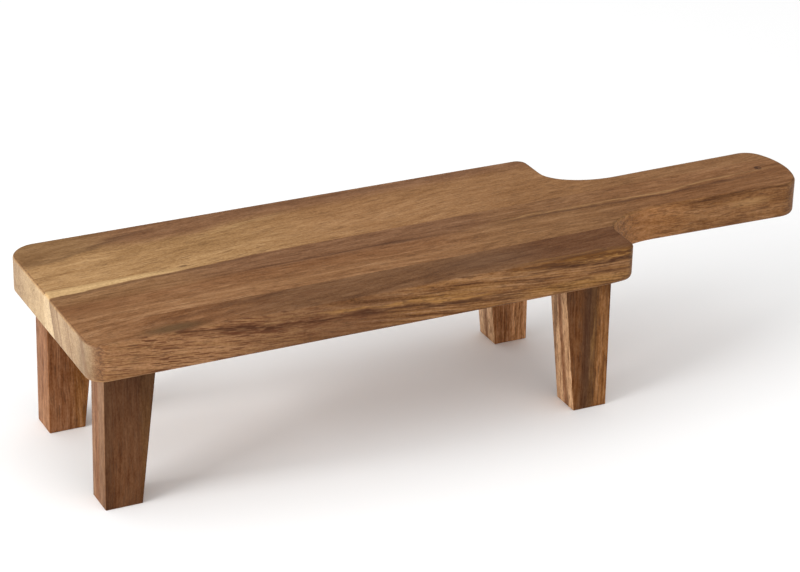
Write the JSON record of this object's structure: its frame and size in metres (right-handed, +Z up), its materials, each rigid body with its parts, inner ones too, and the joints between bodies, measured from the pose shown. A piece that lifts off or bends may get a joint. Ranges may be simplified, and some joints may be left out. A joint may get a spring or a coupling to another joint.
{
  "type": "footed serving board",
  "caption": "Long wooden serving board of edge-glued staves with a paddle handle, raised on tapered legs that are held by blind dowels.",
  "frame": {"origin": "on the table, under the middle of the board's length and width", "axes": "+X along the board towards the handle, +Y to the back, +Z up"},
  "size_m": [0.48, 0.1416, 0.1072],
  "materials": {
    "back_stave": "oiled satin, yellow-tan with a brown far edge",
    "centre_stave": "oiled satin, purple-brown with a cream sapwood wedge",
    "front_stave": "oiled satin, dark grey-brown on top and red-tan at the side",
    "leg": "oiled satin, dark red-brown with upright grain",
    "dowel": "plain beech, unfinished"
  },
  "bodies": {
    "root": {"back_stave": "back_stave", "centre_stave": "centre_stave", "front_stave": "front_stave", "front_left_leg": "leg", "front_right_leg": "leg", "back_left_leg": "leg", "back_right_leg": "leg", "front_left_dowel_outer": "dowel", "front_left_dowel_inner": "dowel", "front_right_dowel_outer": "dowel", "front_right_dowel_inner": "dowel", "back_left_dowel_outer": "dowel", "back_left_dowel_inner": "dowel", "back_right_dowel_outer": "dowel", "back_right_dowel_inner": "dowel"}
  },
  "joints": []
}
